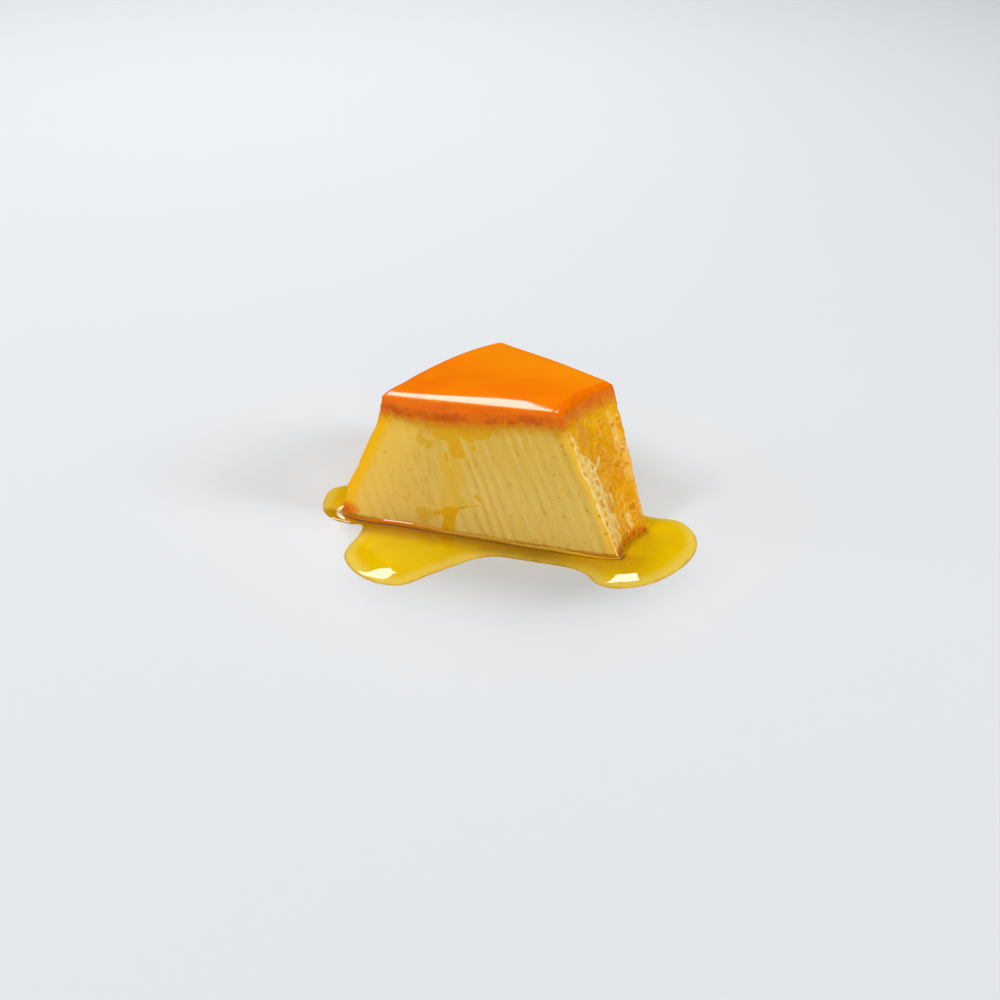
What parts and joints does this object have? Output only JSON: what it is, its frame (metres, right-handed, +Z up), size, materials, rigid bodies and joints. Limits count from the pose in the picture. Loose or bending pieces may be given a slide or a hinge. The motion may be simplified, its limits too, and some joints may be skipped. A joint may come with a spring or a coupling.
{
  "type": "crema volteada slice",
  "caption": "Wedge slice of a baked caramel custard turned out of a ring mould, with a caramel-soaked top layer and a thin pool of syrup round its foot.",
  "frame": {"origin": "middle of the bounding box, at the level of the slice's foot", "axes": "+Z up from the foot to the caramel layer; +X along the slice, from the mould's outer wall to its inner wall"},
  "size_m": [0.1246, 0.113, 0.0467],
  "materials": {
    "custard": "moist",
    "caramel_layer": "wet gloss",
    "syrup": "clear wet syrup"
  },
  "bodies": {
    "root": {"custard": "custard", "caramel_layer": "caramel_layer", "syrup_pool": "syrup"}
  },
  "joints": []
}
